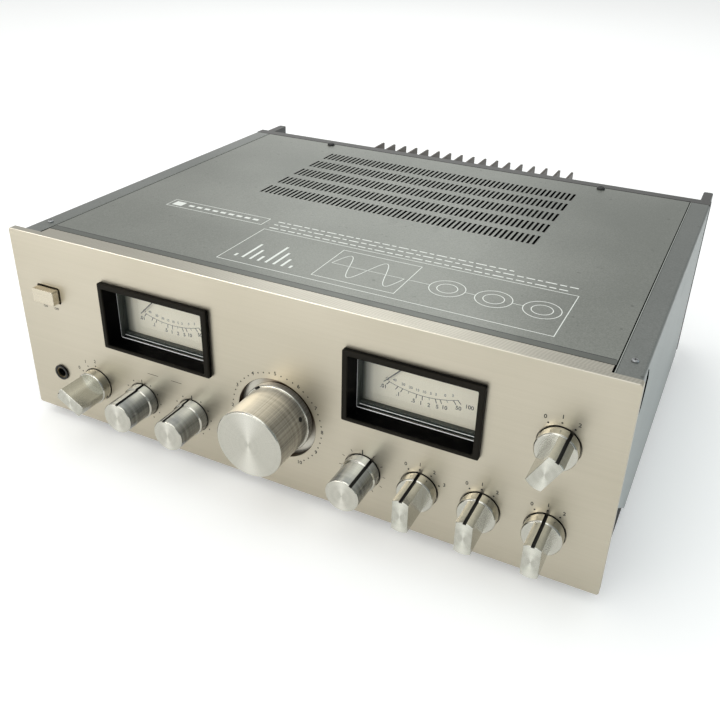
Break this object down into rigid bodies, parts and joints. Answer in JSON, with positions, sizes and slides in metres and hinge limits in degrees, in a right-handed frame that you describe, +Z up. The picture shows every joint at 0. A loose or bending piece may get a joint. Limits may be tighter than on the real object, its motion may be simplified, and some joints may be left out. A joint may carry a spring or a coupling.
{
  "type": "integrated stereo amplifier",
  "caption": "Full-width hi-fi amplifier with a thick brushed front panel, two power meters, a large volume knob, small round and bar knobs, a slotted top cover and a rear heat sink.",
  "frame": {"origin": "middle of the footprint, on the surface that the feet stand on", "axes": "+X to the right of someone who faces the front panel, +Y from the front panel to the back, +Z up"},
  "size_m": [0.43, 0.388, 0.1508],
  "materials": {
    "panel": "brushed, clear anodised",
    "knob": "turned and brushed, clear anodised",
    "bright_metal": "nickel plated",
    "inner_steel": "zinc plated",
    "inner_alloy": "folded sheet",
    "cover": "grey paint, fine texture",
    "black_steel": "black paint",
    "heat_sink": "dark anodised",
    "black_plastic": "fine grain",
    "foot": "matt",
    "glass": "clear",
    "dial": "printed card",
    "needle": "black paint",
    "board": "circuit board"
  },
  "bodies": {
    "chassis": {"front_panel": "panel", "front_sub_frame": "inner_steel", "front_strip": "panel", "top_cover": "cover", "bottom_plate": "black_steel", "rear_panel": "cover", "rear_cross_bar": "black_steel", "side_cover_left": "cover", "side_cover_right": "cover", "side_frame_left": "black_steel", "side_frame_right": "black_steel", "cover_screw_left": "black_steel", "cover_screw_right": "black_steel", "rail_screw_left": "bright_metal", "rail_screw_right": "bright_metal", "foot_front_left": "foot", "foot_front_right": "foot", "foot_rear_left": "foot", "foot_rear_right": "foot", "rear_guard_left": "black_plastic", "rear_guard_right": "black_plastic", "heat_sink": "heat_sink", "power_switch": "black_plastic", "headphone_jack": "black_plastic", "main_board": "board", "power_supply": "inner_alloy", "input_sockets": "black_plastic", "speaker_terminals": "black_plastic", "mains_gland": "black_plastic", "ground_post": "bright_metal", "bezel_left": "black_plastic", "glass_left": "glass", "meter_case_left": "black_plastic", "dial_left": "dial", "bezel_right": "black_plastic", "glass_right": "glass", "meter_case_right": "black_plastic", "dial_right": "dial", "speaker_switch": "inner_alloy", "bass_control": "inner_alloy", "treble_control": "inner_alloy", "volume_control": "inner_alloy", "balance_control": "inner_alloy", "filter_switch": "inner_alloy", "tape_copy_switch": "inner_alloy", "monitor_switch": "inner_alloy", "function_switch": "inner_alloy"},
    "speaker_knob": {"speaker_knob": "knob"},
    "bass_knob": {"bass_knob": "knob"},
    "treble_knob": {"treble_knob": "knob"},
    "volume_knob": {"volume_knob": "knob"},
    "balance_knob": {"balance_knob": "knob"},
    "filter_knob": {"filter_knob": "knob"},
    "tape_copy_knob": {"tape_copy_knob": "knob"},
    "monitor_knob": {"monitor_knob": "knob"},
    "function_knob": {"function_knob": "knob"},
    "power_button": {"power_button": "knob"},
    "needle_left": {"needle_left": "needle"},
    "needle_right": {"needle_right": "needle"}
  },
  "joints": [
    {"name": "speaker_turn", "type": "hinge", "parent": "chassis", "child": "speaker_knob", "pos_m": [-0.1521, -0.161, 0.0418], "axis": [0, 1, 0], "range_deg": [0, 60]},
    {"name": "bass_turn", "type": "hinge", "parent": "chassis", "child": "bass_knob", "pos_m": [-0.1102, -0.161, 0.0418], "axis": [0, 1, 0], "range_deg": [-155, 145]},
    {"name": "treble_turn", "type": "hinge", "parent": "chassis", "child": "treble_knob", "pos_m": [-0.0675, -0.161, 0.0418], "axis": [0, 1, 0], "range_deg": [-138, 162]},
    {"name": "volume_turn", "type": "hinge", "parent": "chassis", "child": "volume_knob", "pos_m": [0, -0.161, 0.0611], "axis": [0, 1, 0], "range_deg": [-117, 183]},
    {"name": "balance_turn", "type": "hinge", "parent": "chassis", "child": "balance_knob", "pos_m": [0.0622, -0.161, 0.0418], "axis": [0, 1, 0], "range_deg": [-182, 118]},
    {"name": "filter_turn", "type": "hinge", "parent": "chassis", "child": "filter_knob", "pos_m": [0.1007, -0.161, 0.0418], "axis": [0, 1, 0], "range_deg": [-30, 60]},
    {"name": "tape_copy_turn", "type": "hinge", "parent": "chassis", "child": "tape_copy_knob", "pos_m": [0.13985, -0.161, 0.0418], "axis": [0, 1, 0], "range_deg": [-30, 30]},
    {"name": "monitor_turn", "type": "hinge", "parent": "chassis", "child": "monitor_knob", "pos_m": [0.179, -0.161, 0.0418], "axis": [0, 1, 0], "range_deg": [-30, 30]},
    {"name": "function_turn", "type": "hinge", "parent": "chassis", "child": "function_knob", "pos_m": [0.179, -0.161, 0.1017], "axis": [0, 1, 0], "range_deg": [-60, 0]},
    {"name": "power_push", "type": "slide", "parent": "chassis", "child": "power_button", "axis": [0, 1, 0], "range_m": [0, 0.004], "stiffness_N_per_m": 300},
    {"name": "needle_swing_left", "type": "hinge", "parent": "chassis", "child": "needle_left", "pos_m": [-0.0926, -0.1463, 0.126], "axis": [0, -1, 0], "range_deg": [0, 90], "stiffness_Nm_per_rad": 0.002},
    {"name": "needle_swing_right", "type": "hinge", "parent": "chassis", "child": "needle_right", "pos_m": [0.0926, -0.1463, 0.126], "axis": [0, -1, 0], "range_deg": [0, 90], "stiffness_Nm_per_rad": 0.002}
  ]
}
